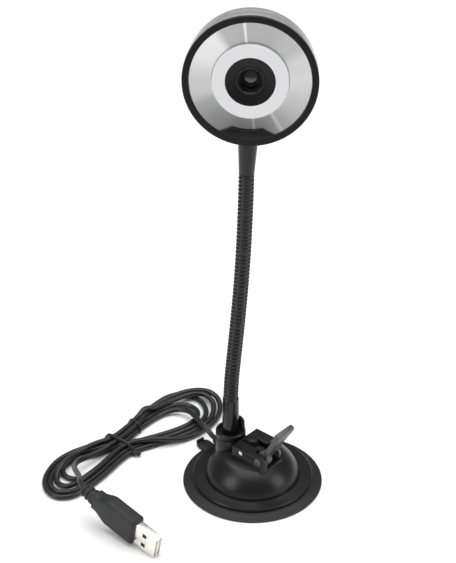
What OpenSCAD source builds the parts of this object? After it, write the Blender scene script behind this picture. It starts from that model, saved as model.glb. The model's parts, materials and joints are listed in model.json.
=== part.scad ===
// Round webcam head on a flexible gooseneck, standing on a lever-lock suction cup,
// with a hanked USB cable and a USB-A plug.
// Origin: centre of the suction cup on the surface it stands on. +Z up, the lens looks along -Y.

/* [Head] */
// Outer radius of the black front ring
head_r = 31.5; // [30:0.1:33]
// Inner radius of the black front ring
bezel_in_r = 28.07; // [27.9:0.01:28.3]
// Outer radius of the white focus ring
focus_r = 17.7; // [17:0.1:17.8]
// Outer radius of the lens barrel's front flange
lens_r = 6.8; // [6.4:0.1:6.85]
// Depth of the head behind its front ring
head_depth = 19; // [18.5:0.5:22]
// Upward tilt of the face, degrees
face_tilt = 6.3; // [0:0.1:12]
// Turn of the face about the vertical, degrees
face_yaw = -2.5; // [-6:0.1:6]
// Roll of the face, degrees
face_roll = -1.8; // [-4:0.1:4]

/* [Gooseneck] */
// Outer radius of the ribs
neck_r = 3.75; // [3.6:0.05:4]
// Radius at the bottom of the grooves
groove_r = 3.2; // [3.1:0.05:3.4]
// Length of one link
link_l = 8.2; // [8:0.1:9]
// Radius of each link's ball
ball_r = 2.6; // [2.4:0.05:2.65]
// Clearance between ball and socket
ball_gap = 0.05; // [0.03:0.01:0.1]
// Backward lean gained by each link, degrees
lean_step = 0.35; // [0:0.05:0.6]

/* [Base] */
// Radius of the suction cup
cup_r = 35; // [34:0.5:38]
// Radius of the cover's flat brim
brim_r = 30.15; // [29.5:0.05:31]
// Radius of the dome where it meets the brim
dome_r = 23.8; // [23:0.1:25]
// Height of the brim's top
brim_z = 4.5; // [4.3:0.1:5]
// Height of the flat top of the dome
dome_h = 16.6; // [16.2:0.1:16.8]
// Outer radius of the tower that holds the neck
tower_r = 7.6; // [7.3:0.1:8]
// Height of the tower's collar
collar_top = 25.5; // [25:0.5:27]
// Height of the top of the lower ferrule
ferrule_top = 45; // [42:0.5:48]

/* [Lever] */
// Height of the lever housing
lever_box_z = 24; // [23.8:0.1:25]
// Distance of the lever's pivot from the stem
pivot_t = 11.4; // [11.2:0.1:11.8]
// Height of the lever's pivot
pivot_z = 21.6; // [21.4:0.1:21.8]
// Throw of the crank pin
crank_e = 2.4; // [2.2:0.1:2.5]
// Length of the lever from its pivot
lever_len = 20.6; // [18:0.2:24]
// Lean of the open lever above the horizontal, degrees
lever_up = 62; // [58:1:66]

/* [Cable] */
// Diameter of the cable
cord_d = 2.8; // [2.6:0.1:3.2]
// Height of the tied hank
hank_h = 8; // [7.5:0.5:11]

/* [Hidden] */
$fn = 64;

black = [0.10, 0.10, 0.11];
silver = [0.72, 0.73, 0.75];

// --- gooseneck route ------------------------------------------------------
n_links = 15;
tower_xy = [-11, 8.5];
// sideways lean of each link, degrees
lean_right = [3, 4.5, 5, 5, 5, 4.5, 4.5, 4, 3.5, 3, 2.5, 2, 2, 1.5, 1.5];
socket_lip = 1;
link_gap = 1.1;
// ball joints that carry the bends, with a wider gap under them
flex_joints = [2, 5, 7, 10, 12, 15];
flex_gap = 2;
function flexes(i) = len(search(i, flex_joints)) > 0;
function gap_over(i) = flexes(i + 1) ? flex_gap : link_gap;
function link_rot(i) = [-lean_step * i, lean_right[i - 1], 0];
function rot_dir(a) = [cos(a[0]) * sin(a[1]), -sin(a[0]), cos(a[0]) * cos(a[1])];
function pivot(i) = i <= 1 ? [tower_xy[0], tower_xy[1], ferrule_top + link_gap + socket_lip]
                           : pivot(i - 1) + link_l * rot_dir(link_rot(i - 1));

// --- head frame: z out of the face, y up the face, x to the viewer's right --
function rz(v, a) = [v[0] * cos(a) - v[1] * sin(a), v[0] * sin(a) + v[1] * cos(a), v[2]];
function rx(v, a) = [v[0], v[1] * cos(a) - v[2] * sin(a), v[1] * sin(a) + v[2] * cos(a)];
function head_dir(v) = rz(rx(rz(v, face_roll), 90 - face_tilt), face_yaw);
ferrule_z = -6;
ferrule_drop = 46.9;
head_c = pivot(n_links + 1) + ferrule_drop * head_dir([0, 1, 0]) - ferrule_z * head_dir([0, 0, 1]);
module head_frame() translate(head_c) rotate([0, 0, face_yaw]) rotate([90 - face_tilt, 0, 0]) rotate([0, 0, face_roll]) children();
function head_pt(v) = head_c + head_dir(v);
post_r = 24.5;
post_angles = [90, 210, 330];

// --- lever frame: x outward along the lever, z up ---------------------------
lever_az = -41;
module lever_frame() rotate([0, 0, lever_az]) children();

// --- tube swept along points ------------------------------------------------
function unit(v) = v / norm(v);
function tangent(p, i) = unit(p[min(i + 1, len(p) - 1)] - p[max(i - 1, 0)]);
function side_of(t) = unit(cross(t, abs(t[2]) > 0.9 ? [1, 0, 0] : [0, 0, 1]));
function ring_of(p, i, r, n) = let (t = tangent(p, i), a = side_of(t), b = cross(a, t))
  [for (k = [0 : n - 1]) p[i] + r * (cos(360 * k / n) * a + sin(360 * k / n) * b)];
module tube(p, r, n = 8) {
  m = len(p);
  polyhedron(points = [for (i = [0 : m - 1]) each ring_of(p, i, r, n)],
    faces = concat([[for (k = [0 : n - 1]) k]],
      [for (i = [0 : m - 2]) for (k = [0 : n - 1]) [i * n + (k + 1) % n, i * n + k, (i + 1) * n + k]],
      [for (i = [0 : m - 2]) for (k = [0 : n - 1]) [i * n + (k + 1) % n, (i + 1) * n + k, (i + 1) * n + (k + 1) % n]],
      [[for (k = [n - 1 : -1 : 0]) (m - 1) * n + k]]));
}
// points along a smooth curve through the route's points
function cat(p, i, u) = let (a = p[max(i - 1, 0)], b = p[i], c = p[i + 1], d = p[min(i + 2, len(p) - 1)])
  0.5 * ((2 * b) + (c - a) * u + (2 * a - 5 * b + 4 * c - d) * u * u + (3 * b - a - 3 * c + d) * u * u * u);
function smooth_path(p, n) = concat([for (i = [0 : len(p) - 2]) for (k = [0 : n - 1]) cat(p, i, k / n)], [p[len(p) - 1]]);

// --- cable routes -------------------------------------------------------------
exit_az = 133;
exit_z = 13;
function at_exit(r) = [tower_xy[0] + r * cos(exit_az), tower_xy[1] + r * sin(exit_az), exit_z];
// from the grommet round to the hank
lead_pts = [at_exit(11), [-20.3, 20.6, 12.2], [-21.6, 25.1, 10.7], [-23, 30.8, 8.6], [-24.8, 36.4, 6.6], [-27, 42, 5.2], [-29.5, 47.6, 4.5]];
// plug axis: azimuth and nose-down angle
plug_az = -41;
plug_dip = 12;
plug_front = [-56, -52, 8.8];
plug_dir = [cos(plug_dip) * cos(plug_az), cos(plug_dip) * sin(plug_az), -sin(plug_dip)];
// from the hank over its own turns to the plug's strain relief
relief_back = plug_front - 37 * plug_dir;
tail_pts = [[-86, 10.6, 5.2], [-89, 5.4, 6.5], [-89.7, -0.4, 8.5], [-88.7, -6.1, 10.6], [-87, -11.8, 12.6], [-85.9, -17.5, 14.5], relief_back - 4 * plug_dir + [0.8, 1, -0.2], relief_back];
// hank: along its own axis
hank_az = 46;
module hank_frame() rotate([0, 0, hank_az]) children();

// ============================== head ==========================================
module front_bezel() color(black) head_frame() {
  rotate_extrude($fn = 96) polygon([[bezel_in_r, -0.3], [bezel_in_r, 0.9], [bezel_in_r + 0.4, 1.2], [head_r - 0.7, 1.2],
    [head_r, 0.6], [head_r - 1.1, -1.5], [29.55, -1.5], [29.55, -2.05], [28.9, -2.05], [28.9, -0.3]]);
  // chin tab
  rotate([0, 0, -91.2]) translate([0, 0, 0.15]) linear_extrude(1.1)
    polygon(concat([for (a = [-17 : 3.4 : 17]) 23.6 * [cos(a), sin(a)]], [for (a = [27 : -5.4 : -27]) 28.6 * [cos(a), sin(a)]]));
}
module face_reflector() color(silver) head_frame()
  rotate_extrude($fn = 96) polygon([[17.9, -1.8], [17.9, -0.8], [28, 0.1], [28, -0.35], [28.8, -0.35], [28.8, -1.4]]);

module housing_band() color(silver) head_frame() difference() {
  union() {
    rotate_extrude($fn = 96) polygon([[29.6, -1.5], [head_r - 0.4, -1.5], [head_r - 0.4, -7.8], [head_r - 1.1, -10.2], [29.6, -10.2]]);
    for (a = post_angles) rotate([0, 0, a]) {
      translate([post_r, 0, -11.2]) cylinder(r = 2.4, h = 7.6);
      translate([post_r, -0.75, -8.4]) cube([5.3, 1.5, 4.8]);
    }
    translate([0, -28.3, ferrule_z]) rotate([90, 0, 0]) cylinder(r = 3.9, h = 1.6);
  }
  translate([0, -20, ferrule_z]) rotate([90, 0, 0]) cylinder(r = 3.2, h = 15);
  for (a = post_angles) rotate([0, 0, a]) translate([post_r, 0, -12]) cylinder(r = 1, h = 6.2);
}

module rear_cover() color(silver) head_frame() difference() {
  union() {
    rotate_extrude($fn = 96) polygon(concat([[0, -head_depth], [24.4, -head_depth]],
      [for (a = [12 : 15.6 : 90]) [24.9 + 5.5 * sin(a), -head_depth + 5.5 - 5.5 * cos(a)]],
      [[30.6, -10.2], [29.55, -10.2], [29.55, -8.6], [28.9, -8.6], [28.9, -13.4], [24.2, 1.5 - head_depth], [0, 1.5 - head_depth]]));
    for (a = post_angles) rotate([0, 0, a]) translate([post_r, 0, 1 - head_depth]) cylinder(r = 2.4, h = head_depth - 13.8);
  }
  for (a = post_angles) rotate([0, 0, a]) {
    translate([post_r, 0, -head_depth - 1]) cylinder(r = 1.15, h = 10);
    translate([post_r, 0, -head_depth - 1]) cylinder(r = 2.1, h = 2.2);
  }
  translate([0, -27, ferrule_z]) rotate([90, 0, 0]) cylinder(r = 4.2, h = 4);
}

module focus_ring() color([0.9, 0.9, 0.91]) head_frame()
  rotate_extrude($fn = 96) polygon([[11.6, -3.2], [11.6, 1.3], [focus_r - 0.3, 1.3], [focus_r, 1], [focus_r, -2.2], [18.8, -2.2], [18.8, -3.2]]);

module lens_cone() color(black) head_frame()
  rotate_extrude($fn = 96) polygon([[lens_r + 0.1, -2.4], [lens_r + 0.1, -0.3], [11.2, 1.1], [11.6, 1.1], [11.6, -2.4]]);

module lens_barrel() color(black) head_frame()
  rotate_extrude($fn = 96) polygon([[3.6, -9], [3.6, -8.8], [3.6, -5.4], [4.6, -5.4], [4.6, -3.2], [5.6, -0.3], [5.9, 0],
    [lens_r - 0.2, 0], [lens_r, -0.2], [lens_r, -2.2], [5.95, -2.2], [5.95, -9]]);

module front_lens() color([0.35, 0.4, 0.55, 0.6]) head_frame() intersection() {
  translate([0, 0, -5.4]) cylinder(r = 4.6, h = 2.6);
  translate([0, 0, -12.1]) sphere(r = 8.6, $fn = 96);
}
module rear_lens() color([0.35, 0.4, 0.55, 0.6]) head_frame() intersection() {
  translate([0, 0, -8.8]) cylinder(r = 3.6, h = 2);
  translate([0, 0, 1]) sphere(r = 9.6, $fn = 96);
}
module lens_holder() color(black) head_frame() difference() {
  union() {
    translate([0, 0, -11.2]) cylinder(r = 8, h = 7.2);
    translate([-8, -8, -11.2]) cube([16, 16, 2.6]);
    for (s = [-1, 1]) translate([s * 10.5, 0, -11.2]) cylinder(r = 2.2, h = 2.6);
    translate([-10.5, -2.2, -11.2]) cube([21, 4.4, 2.6]);
  }
  translate([0, 0, -9.4]) cylinder(r = 6, h = 7);
  translate([-4.6, -4.6, -11.3]) cube([9.2, 9.2, 2]);
  for (s = [-1, 1]) translate([s * 10.5, 0, -12]) cylinder(r = 0.8, h = 3);
}
module ir_filter() color([0.6, 0.25, 0.3, 0.5]) head_frame() translate([-4, -4, -10]) cube([8, 8, 0.4]);
module image_sensor() color([0.2, 0.25, 0.3]) head_frame() translate([-3.6, -3.6, -11.2]) cube([7.2, 7.2, 0.8]);
module main_board() color([0.1, 0.35, 0.2]) head_frame() difference() {
  translate([0, 0, -12.8]) cylinder(r = 27, h = 1.6, $fn = 96);
  for (a = post_angles) rotate([0, 0, a]) translate([post_r, 0, -13]) cylinder(r = 1.2, h = 2);
  for (s = [-1, 1]) translate([s * 10.5, 0, -13]) cylinder(r = 0.9, h = 2);
}
module controller_chip() color([0.12, 0.12, 0.12]) head_frame() translate([-4.5, 5, -13.8]) cube([9, 9, 1]);
module crystal() color([0.75, 0.75, 0.75]) head_frame() translate([0, -8.4, -13.8]) {
  translate([-3, 0, 0]) cylinder(r = 1.6, h = 1);
  translate([3, 0, 0]) cylinder(r = 1.6, h = 1);
  translate([-3, -1.6, 0]) cube([6, 3.2, 1]);
}
module cable_connector() color([0.92, 0.9, 0.84]) head_frame() difference() {
  translate([-5, -21.6, -11.2]) cube([10, 5.4, 4]);
  translate([-4, -22, -10.4]) cube([8, 3.6, 2.4]);
}
module cover_screws() color([0.5, 0.5, 0.52]) head_frame() for (a = post_angles) rotate([0, 0, a]) translate([post_r, 0, 0]) difference() {
  union() {
    translate([0, 0, -head_depth + 0.2]) cylinder(r = 2, h = 1);
    translate([0, 0, -head_depth + 1]) cylinder(r = 1, h = head_depth - 8);
  }
  translate([-1.3, -0.25, -head_depth]) cube([2.6, 0.5, 0.7]);
  translate([-0.25, -1.3, -head_depth]) cube([0.5, 2.6, 0.7]);
}
module board_screws() color([0.5, 0.5, 0.52]) head_frame() for (s = [-1, 1]) translate([s * 10.5, 0, 0]) {
  translate([0, 0, -13.6]) cylinder(r = 1.5, h = 0.8);
  translate([0, 0, -13]) cylinder(r = 0.8, h = 4.2);
}
module upper_ferrule() color(black) head_frame() translate([0, -ferrule_drop, ferrule_z]) rotate([-90, 0, 0]) difference() {
  rotate_extrude() polygon([[0, -socket_lip], [neck_r - 0.3, -socket_lip], [neck_r, -socket_lip + 0.3], [neck_r, 0], [4.55, 12.6], [4.55, 15],
    [4.2, 15.5], [3.2, 15.5], [3.2, 20.6], [0, 20.6]]);
  sphere(r = ball_r + ball_gap);
  translate([0, 0, -3]) cylinder(r = 1.2, h = 30);
}
module ferrule_nut() color([0.7, 0.6, 0.35]) head_frame() translate([0, -28.3, ferrule_z]) rotate([-90, 0, 0]) difference() {
  cylinder(r = 4, h = 1.7, $fn = 6);
  translate([0, 0, -1]) cylinder(r = 3.2, h = 4);
}

// ============================== gooseneck =====================================
module neck_link(i) color([0.16, 0.16, 0.17]) translate(pivot(i)) rotate(link_rot(i)) difference() {
  union() {
    rotate_extrude() polygon(concat([[0, -socket_lip]],
      [for (k = [0 : flexes(i + 1) ? 2 : 3]) let (z = -socket_lip + k * link_l / 4) each [[neck_r - 0.25, z], [neck_r, z + 0.25], [neck_r, z + 0.7], [groove_r, z + 1.1]]],
      [[groove_r, link_l - socket_lip - gap_over(i) + 0.1], [2.2, link_l - socket_lip - gap_over(i) + 0.1], [0, link_l - socket_lip - gap_over(i) + 0.1]]));
    translate([0, 0, 4]) cylinder(r = 1.6, h = link_l - 4);
    translate([0, 0, link_l]) sphere(r = ball_r);
  }
  sphere(r = ball_r + ball_gap);
  translate([0, 0, -3]) cylinder(r = 1.2, h = link_l + 8);
}
// wires from the cable's entry, up the gooseneck, to the board
module neck_cable() color([0.3, 0.3, 0.32]) tube(concat(
  [at_exit(4.2), at_exit(2.2) + [0, 0, 0.4], [tower_xy[0] - 0.3, tower_xy[1] + 0.3, exit_z + 1.6], [tower_xy[0], tower_xy[1], exit_z + 4], [tower_xy[0], tower_xy[1], 30]],
  [for (i = [1 : n_links + 1]) pivot(i)],
  [head_pt([0, -30, ferrule_z]), head_pt([0, -25.5, ferrule_z]), head_pt([0, -23, ferrule_z - 1.2]), head_pt([0, -21.8, ferrule_z - 3])]), 0.8);
module lower_ferrule() color(black) translate([tower_xy[0], tower_xy[1], 0]) difference() {
  union() {
    rotate_extrude() polygon([[0, 16.5], [4, 16.5], [4, 19.4], [5.2, 19.4], [5.2, 21], [4.3, 21], [4.3, collar_top],
      [4.05, ferrule_top - 0.4], [3.7, ferrule_top], [0, ferrule_top]]);
    translate([0, 0, ferrule_top - 2]) cylinder(r = 1.8, h = 2 + link_gap + socket_lip);
    translate([0, 0, ferrule_top + link_gap + socket_lip]) sphere(r = ball_r);
  }
  translate([0, 0, 10]) cylinder(r = 1.2, h = ferrule_top);
}

// ============================== base ===========================================
module tower_collar() color(black) translate([tower_xy[0], tower_xy[1], 0]) {
  rotate_extrude() polygon([[4.38, 22.3], [tower_r - 0.1, 22.3], [tower_r, 22.6], [tower_r, collar_top - 0.5], [tower_r - 0.5, collar_top], [6.2, collar_top],
    [5.4, collar_top - 1.4], [4.38, collar_top - 1.4]]);
  // raised lug on the side away from the cable
  rotate([0, 0, -18]) rotate_extrude(angle = 62) polygon([[5.6, collar_top - 1], [tower_r - 0.2, collar_top - 1], [tower_r - 0.6, 30], [tower_r - 1.2, 30.6], [5.8, 30.6]]);
}
module friction_washer() color([0.75, 0.75, 0.77]) translate([tower_xy[0], tower_xy[1], 21.1]) difference() {
  cylinder(r = 5.3, h = 1.1);
  translate([0, 0, -1]) cylinder(r = 4.36, h = 3);
}

dome_in = 2;
// egg-shaped side with a flat top
dome_mid = 2.5;
dome_rise = 18;
dome_end = asin((dome_h - dome_mid) / dome_rise);
module dome_profile() polygon(concat([[0, 0], [dome_r, 0]], [for (i = [0 : 10]) let (a = 6.4 + (dome_end - 6.4) * i / 10)
  [(dome_r + 0.1) * cos(a), dome_mid + dome_rise * sin(a)]], [[0, dome_h]]));
module lever_box() lever_frame() {
  // block with rounded upright corners
  translate([-5.4, -9.5, 8]) cube([11.8, 19, lever_box_z - 8]);
  translate([6, -9.5, 8]) cube([7.4, 15.2, lever_box_z - 8]);
  for (y = [-7.9, 4.1]) translate([13.4, y, 8]) cylinder(r = 1.6, h = lever_box_z - 8);
  translate([13.3, -7.9, 8]) cube([1.7, 12, lever_box_z - 8]);
}
module base_cover() color(black) difference() {
  union() {
    // dome, brim and side wall
    rotate_extrude($fn = 96) dome_profile();
    rotate_extrude($fn = 96) polygon([[0, 2.9], [brim_r, 2.9], [brim_r, brim_z - 0.4], [brim_r - 0.4, brim_z], [0, brim_z]]);
    // tower
    translate([tower_xy[0], tower_xy[1], 4]) cylinder(r = tower_r, h = 18.3);
    lever_box();
  }
  // hollow under the dome
  rotate_extrude($fn = 96) polygon(concat([[0, -1], [22.6, -1]], [for (a = [0 : 7.5 : 90]) [22 * cos(a), 3.6 + 6.4 * sin(a)]]));
  // open underside of the brim
  difference() {
    translate([0, 0, -1]) cylinder(r = 23.6, h = 4.6, $fn = 96);
    translate([0, 0, -2]) cylinder(r = 22, h = 2);
  }
  // tower bore, flange seat and cable space
  translate([tower_xy[0], tower_xy[1], 16.2]) cylinder(r = 4.05, h = 10);
  translate([tower_xy[0], tower_xy[1], 19.3]) cylinder(r = 5.35, h = 5);
  translate([tower_xy[0], tower_xy[1], 6]) cylinder(r = 3, h = 12);
  translate([tower_xy[0], tower_xy[1], exit_z]) rotate([0, 0, exit_az]) rotate([0, 90, 0]) cylinder(r = 2.6, h = 12);
  lever_frame() {
    // stem bore
    translate([0, 0, 5]) cylinder(r = 3.55, h = 12);
    // room for the stem's fork, the tongue's slot and the lever's slot
    translate([-4.7, -3.8, 13.6]) cube([12, 7.6, 9.2]);
    translate([-4.7, -2.95, 15]) cube([14, 5.9, 12]);
    translate([6.9, -6.3, 17.4]) cube([12, 10.8, 12]);
    // the far cheek is short and low
    translate([6.9, 4.4, 23.2]) cube([12, 3, 6]);
    translate([13.2, 4.4, 17.4]) cube([6, 3, 8]);
    // pin holes
    translate([pivot_t, 12, pivot_z]) rotate([90, 0, 0]) cylinder(r = 1, h = 24);
    translate([0, 12, pivot_z]) rotate([90, 0, 0]) cylinder(r = 1.2, h = 24);
  }
}
module suction_cup() color([0.17, 0.17, 0.18]) {
  rotate_extrude($fn = 96) polygon([[23.8, 1.2], [29, 0], [cup_r - 0.4, 0], [cup_r, 0.3], [cup_r, 0.8], [33, 1.2], [31.3, 1.7], [29.6, 2.5],
    [29.2, 2.9], [23.8, 2.9]]);
  // pull tab with a raised lip
  rotate([0, 0, 131]) {
    translate([cup_r - 2, -3.8, 0.3]) cube([4.6, 7.6, 1]);
    translate([cup_r + 2.6, 0, 0.3]) cylinder(r = 3.8, h = 1);
    translate([cup_r + 5.3, -2.4, 1.2]) cube([1.1, 4.8, 1.4]);
  }
}
module cup_membrane() color([0.17, 0.17, 0.18]) rotate_extrude($fn = 96)
  polygon([[0, 1], [20, 1], [23.5, 1.3], [23.5, 2.2], [20, 2.1], [11, 3], [0, 3]]);
module cup_stem() color([0.16, 0.16, 0.17]) lever_frame() difference() {
  union() {
    translate([0, 0, 3]) cylinder(r = 11, h = 1.2);
    translate([0, 0, 3.5]) cylinder(r = 3.5, h = 14);
    // tongue
    translate([-4.3, -2.6, 16]) cube([4.3, 5.2, 9.4]);
    translate([0, 0, 16]) cylinder(r = 2.6, h = 9.4);
    // fork
    translate([0, -2.4, pivot_z - crank_e * sin(45) - 1.82]) cube([10.2, 4.8, 3.64]);
  }
  translate([7.8, -3, pivot_z - crank_e * sin(45) - 0.92]) cube([4, 6, 1.84]);
  // slot for the guide pin
  translate([-1.3, -5, pivot_z - 5]) cube([2.6, 10, 5]);
  translate([0, 5, pivot_z]) rotate([90, 0, 0]) cylinder(r = 1.3, h = 10);
}
module guide_pin() color([0.8, 0.8, 0.8]) lever_frame() translate([0, 9.5, pivot_z]) rotate([90, 0, 0]) cylinder(r = 1.2, h = 19.1);
// one slice of the lever, in its own plane of motion
module lever_slice(y_hi, w) translate([0, y_hi, 0]) rotate([90, 0, 0]) linear_extrude(w) children();
module lever() color([0.2, 0.2, 0.21]) lever_frame() translate([pivot_t, 0, pivot_z]) difference() {
  union() {
    for (y = [[4.2, 1.5], [-2.7, 3.3]]) lever_slice(y[0], y[1]) {
      circle(r = 3.6);
      rotate(lever_up) translate([0, -1.15]) square([6, 2.3]);
    }
    lever_slice(6, 12) rotate(lever_up) polygon([[4.4, -1.3], [lever_len - 1.2, -1.3], [lever_len, -0.4], [lever_len, 1.2], [lever_len - 0.6, 1.9],
      [lever_len - 2.4, 1.9], [lever_len - 3, 1.3], [4.4, 1.3]]);
  }
  translate([0, 7, 0]) rotate([90, 0, 0]) cylinder(r = 1.05, h = 14);
  // far edge: narrow at the root, flared to the tip
  rotate([0, -lever_up, 0]) translate([0, 0, -5]) linear_extrude(10)
    polygon([[3, 4.2], [6.4, 4.2], [6.4, 2.1], [9.3, 2.1], [23, 6.83], [23, 8], [3, 8]]);
  // crank pin's seats
  translate([-crank_e * cos(45), 4.3, -crank_e * sin(45)]) rotate([90, 0, 0]) cylinder(r = 0.8, h = 8.6);
}
module lever_pivot_pin() color([0.5, 0.5, 0.5]) lever_frame() translate([pivot_t, 0, pivot_z]) {
  translate([0, 5.9, 0]) rotate([90, 0, 0]) cylinder(r = 1, h = 15.6);
  translate([-2, -10.2, -1.3]) cube([4, 0.7, 2.6]);
  translate([-1.3, -10.2, -2.1]) cube([2.6, 0.7, 4.2]);
}
module crank_pin() color([0.8, 0.8, 0.8]) lever_frame()
  translate([pivot_t - crank_e * cos(45), 4.1, pivot_z - crank_e * sin(45)]) rotate([90, 0, 0]) cylinder(r = 0.8, h = 8.4);
module cable_grommet() color(black) translate([tower_xy[0], tower_xy[1], exit_z]) rotate([0, 0, exit_az]) rotate([0, 90, 0]) difference() {
  rotate_extrude() polygon([[0, 4.4], [2.6, 4.4], [2.6, 7.8], [3.3, 7.8], [3.3, 8.6], [2.3, 11], [0, 11]]);
  translate([0, 0, 4]) cylinder(r = 1.1, h = 3.4);
  translate([0, 0, 7.4]) cylinder(r = cord_d / 2, h = 8);
}

// ============================== cable ===========================================
module cord_lead() color([0.15, 0.15, 0.16]) tube(smooth_path(lead_pts, 2), cord_d / 2);
module cord_tail() color([0.15, 0.15, 0.16]) tube(smooth_path(tail_pts, 2), cord_d / 2);
module cord_hank() color([0.15, 0.15, 0.16]) hank_frame() linear_extrude(hank_h) {
  translate([-66.5, 67.5]) circle(r = 14.5, $fn = 48);
  translate([19, 63.5]) circle(r = 17.5, $fn = 48);
  polygon([[-68, 81.8], [-28, 75.8], [19, 80.7], [19, 46.3], [-10, 52], [-28, 57], [-68, 53.2]]);
}
module twist_tie() color([0.12, 0.12, 0.13]) hank_frame() difference() {
  translate([-30, 55.6, 0]) cube([2.4, 21.8, hank_h + 1.2]);
  translate([-31, 56.8, -1]) cube([5, 19.4, hank_h + 1.1]);
}
module cord_band() color([0.12, 0.12, 0.13]) hank_frame() difference() {
  translate([-13, 51.2, 0]) cube([1.4, 27.8, hank_h + 1]);
  translate([-14, 52.2, -1]) cube([4, 25.8, hank_h + 1.1]);
}
module plug_frame() translate(plug_front) rotate([0, 0, plug_az]) rotate([0, plug_dip, 0]) children();
module plug_strain_relief() color(black) plug_frame() rotate([0, 90, 0]) difference() {
  rotate_extrude($fn = 48) polygon([[0, -37], [2.4, -37], [2.6, -36], [3.4, -35.6], [3.4, -34.4], [2.8, -34], [2.9, -33.2], [3.6, -32.8], [3.6, -31.6],
    [3, -31.2], [3.1, -30.4], [3.9, -30], [3.9, -28.6], [3.9, -28], [0, -28]]);
  translate([0, 0, -38]) cylinder(r = cord_d / 2, h = 8);
}
module plug_overmold() color(black) plug_frame() {
  rotate([90, 0, 0]) translate([0, 0, -4]) linear_extrude(8)
    polygon([[-28, -4.6], [-25, -4.8], [-18, -7.4], [-16, -7.75], [-1, -7.75], [0, -7], [0, 7], [-1, 7.75], [-16, 7.75], [-18, 7.4], [-25, 4.8], [-28, 4.6]]);
}
module plug_shell() color([0.8, 0.8, 0.78]) plug_frame() difference() {
  translate([-5, -2.25, -6]) cube([18.6, 4.5, 12]);
  translate([-4.7, -1.95, -5.7]) cube([20, 3.9, 11.4]);
  for (s = [-1, 1]) translate([5, -4, s * 3 - 1.2]) cube([2.4, 8, 2.4]);
}
module plug_tongue() color([0.93, 0.93, 0.9]) plug_frame() translate([-4.7, 0, -5.5]) cube([17.6, 1.9, 11]);
module plug_contacts() color([0.85, 0.68, 0.3]) plug_frame() for (z = [-3.5, -1, 1, 3.5]) translate([0.2, -0.25, z - 0.5]) cube([11, 0.25, 1]);

front_bezel();
face_reflector();
housing_band();
rear_cover();
focus_ring();
lens_cone();
lens_barrel();
front_lens();
rear_lens();
lens_holder();
ir_filter();
image_sensor();
main_board();
controller_chip();
crystal();
cable_connector();
cover_screws();
board_screws();
upper_ferrule();
ferrule_nut();
neck_link(1);  // neck_link_01
neck_link(2);  // neck_link_02
neck_link(3);  // neck_link_03
neck_link(4);  // neck_link_04
neck_link(5);  // neck_link_05
neck_link(6);  // neck_link_06
neck_link(7);  // neck_link_07
neck_link(8);  // neck_link_08
neck_link(9);  // neck_link_09
neck_link(10);  // neck_link_10
neck_link(11);  // neck_link_11
neck_link(12);  // neck_link_12
neck_link(13);  // neck_link_13
neck_link(14);  // neck_link_14
neck_link(15);  // neck_link_15
neck_cable();
lower_ferrule();
tower_collar();
friction_washer();
base_cover();
suction_cup();
cup_membrane();
cup_stem();
guide_pin();
lever();
lever_pivot_pin();
crank_pin();
cable_grommet();
cord_lead();
cord_hank();
cord_tail();
twist_tie();
cord_band();
plug_strain_relief();
plug_overmold();
plug_shell();
plug_tongue();
plug_contacts();
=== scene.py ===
import bpy, bmesh, json, math
from mathutils import Matrix, Vector

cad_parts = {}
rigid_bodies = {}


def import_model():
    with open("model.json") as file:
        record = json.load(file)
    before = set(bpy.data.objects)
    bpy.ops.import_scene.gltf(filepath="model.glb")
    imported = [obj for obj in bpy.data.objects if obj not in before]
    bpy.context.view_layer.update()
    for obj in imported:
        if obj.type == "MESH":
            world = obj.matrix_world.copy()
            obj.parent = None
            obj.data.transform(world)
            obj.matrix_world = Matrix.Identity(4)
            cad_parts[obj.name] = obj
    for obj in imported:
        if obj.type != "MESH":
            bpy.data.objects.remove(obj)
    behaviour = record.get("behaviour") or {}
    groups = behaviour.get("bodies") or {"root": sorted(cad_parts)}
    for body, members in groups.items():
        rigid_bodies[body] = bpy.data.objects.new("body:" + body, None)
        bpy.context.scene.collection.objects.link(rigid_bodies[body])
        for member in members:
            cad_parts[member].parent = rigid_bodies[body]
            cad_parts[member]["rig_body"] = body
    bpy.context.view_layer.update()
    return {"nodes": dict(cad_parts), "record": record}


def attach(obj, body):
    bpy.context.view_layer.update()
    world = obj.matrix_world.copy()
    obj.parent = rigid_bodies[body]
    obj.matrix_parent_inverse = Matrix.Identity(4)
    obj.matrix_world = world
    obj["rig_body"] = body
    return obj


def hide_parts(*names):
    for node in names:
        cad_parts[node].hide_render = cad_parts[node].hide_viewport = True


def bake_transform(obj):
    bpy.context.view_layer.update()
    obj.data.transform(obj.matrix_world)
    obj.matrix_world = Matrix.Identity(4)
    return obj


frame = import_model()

scene = bpy.context.scene
MM = 0.001
RAD = math.radians

# ------------------------------------------------------------------ camera, light, floor
cam_data = bpy.data.cameras.new("camera")
cam = bpy.data.objects.new("camera", cam_data)
scene.collection.objects.link(cam)
cam.location = (-0.01235, -0.8029, 0.6234)
cam.rotation_euler = (RAD(57.82), 0, 0)
cam_data.sensor_width = 36
cam_data.lens = 127.886
cam_data.clip_start = 0.02
cam_data.clip_end = 30
scene.camera = cam
scene.view_settings.view_transform = "Standard"

world = bpy.data.worlds.new("studio")
scene.world = world
world.use_nodes = True
wn = world.node_tree.nodes
wn["Background"].inputs["Color"].default_value = (1.0, 1.0, 1.0, 1)
wn["Background"].inputs["Strength"].default_value = 0.20


def area(name, loc, target, size, size_y, power, color=(1, 1, 1)):
    d = bpy.data.lights.new(name, "AREA")
    d.shape = "RECTANGLE"
    d.size, d.size_y = size, size_y
    d.energy = power
    d.color = color
    o = bpy.data.objects.new(name, d)
    scene.collection.objects.link(o)
    o.location = loc
    o.rotation_euler = (Vector(target) - Vector(loc)).to_track_quat("-Z", "Y").to_euler()
    return o


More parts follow.
